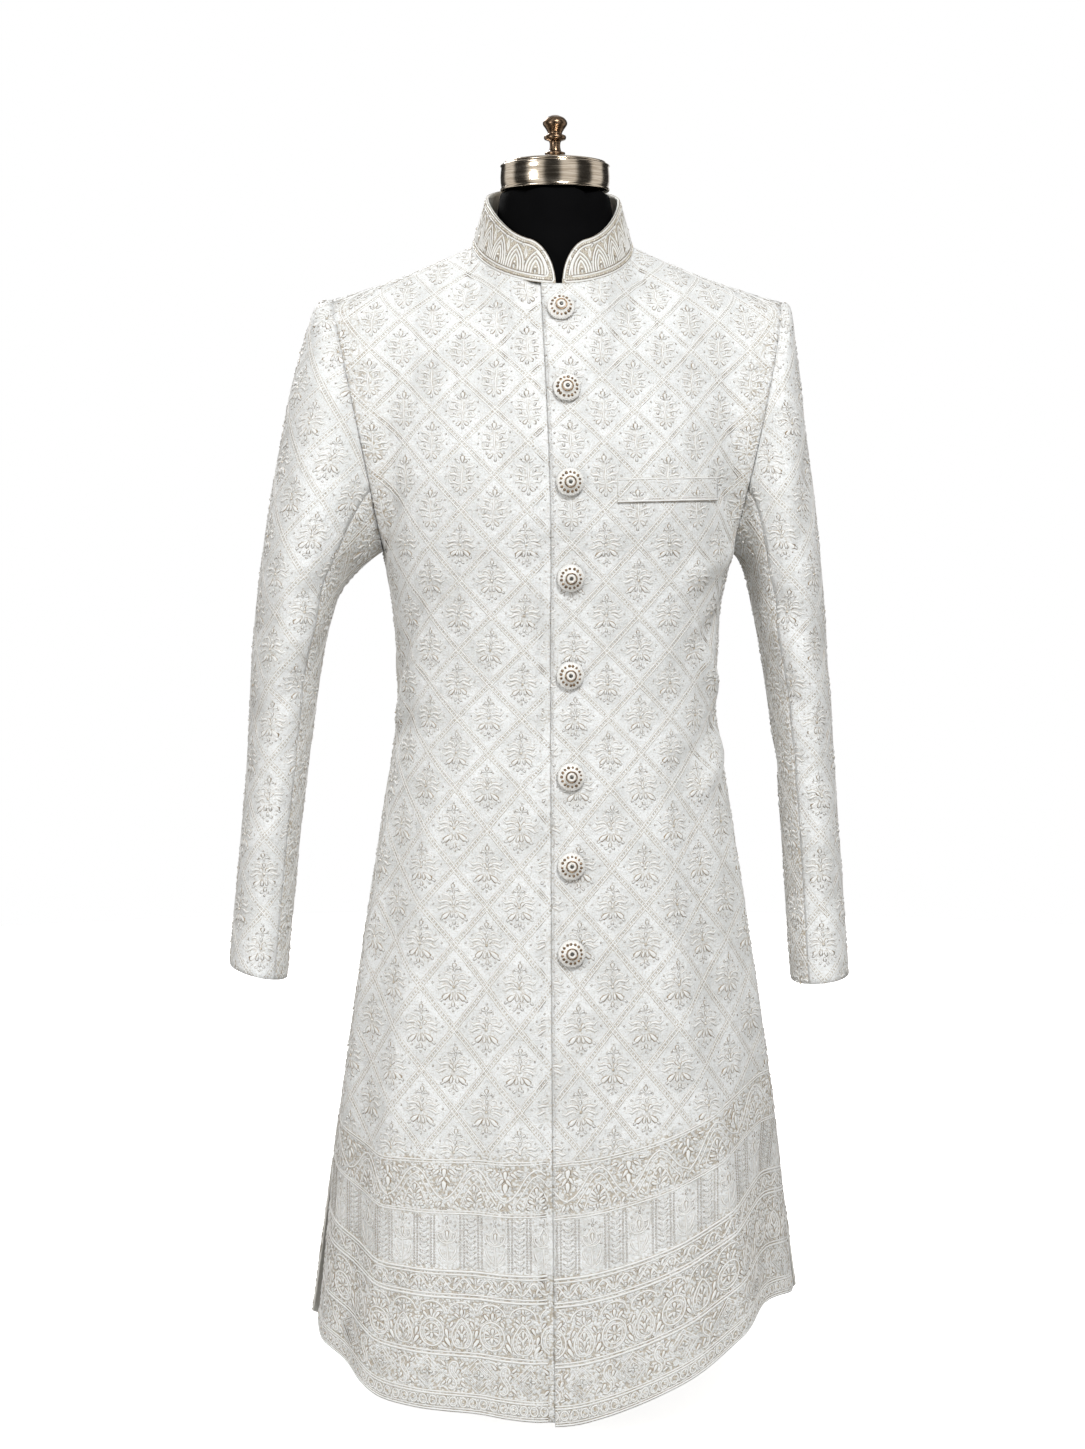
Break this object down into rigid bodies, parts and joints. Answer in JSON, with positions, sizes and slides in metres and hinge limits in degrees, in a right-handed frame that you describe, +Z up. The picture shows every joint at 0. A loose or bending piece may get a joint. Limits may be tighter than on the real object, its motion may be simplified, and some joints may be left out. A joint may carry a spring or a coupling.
{
  "type": "sherwani coat on a dress form",
  "caption": "Long embroidered sherwani coat with a band collar and covered buttons, worn on a limbless black dress form with a metal neck cap, on a low pole and round base.",
  "frame": {"origin": "centre of the base plate's underside, where the dress form stands on the floor", "axes": "+Z up along the pole; the coat's front faces -Y; the wearer's left side is +X"},
  "size_m": [0.6107, 0.36, 1.262],
  "materials": {
    "coat_cloth": "ivory silk brocade with tone-on-tone thread embroidery",
    "button_cover": "embroidered cover with a ring of small beads",
    "form_cover": "smooth matt black",
    "neck_metal": "polished pale gold",
    "stem_bronze": "dark polished bronze",
    "stand_steel": "satin"
  },
  "bodies": {
    "root": {"front_left": "coat_cloth", "front_right": "coat_cloth", "back": "coat_cloth", "left_top_sleeve": "coat_cloth", "left_under_sleeve": "coat_cloth", "right_top_sleeve": "coat_cloth", "right_under_sleeve": "coat_cloth", "collar": "coat_cloth", "pocket_welt": "coat_cloth", "button_1": "button_cover", "button_2": "button_cover", "button_3": "button_cover", "button_4": "button_cover", "button_5": "button_cover", "button_6": "button_cover", "button_7": "button_cover", "button_8": "button_cover", "form_torso": "form_cover", "form_neck_band": "neck_metal", "form_neck_cap": "neck_metal", "form_stem": "stem_bronze", "form_pole": "stand_steel", "form_base": "stand_steel"}
  },
  "joints": []
}
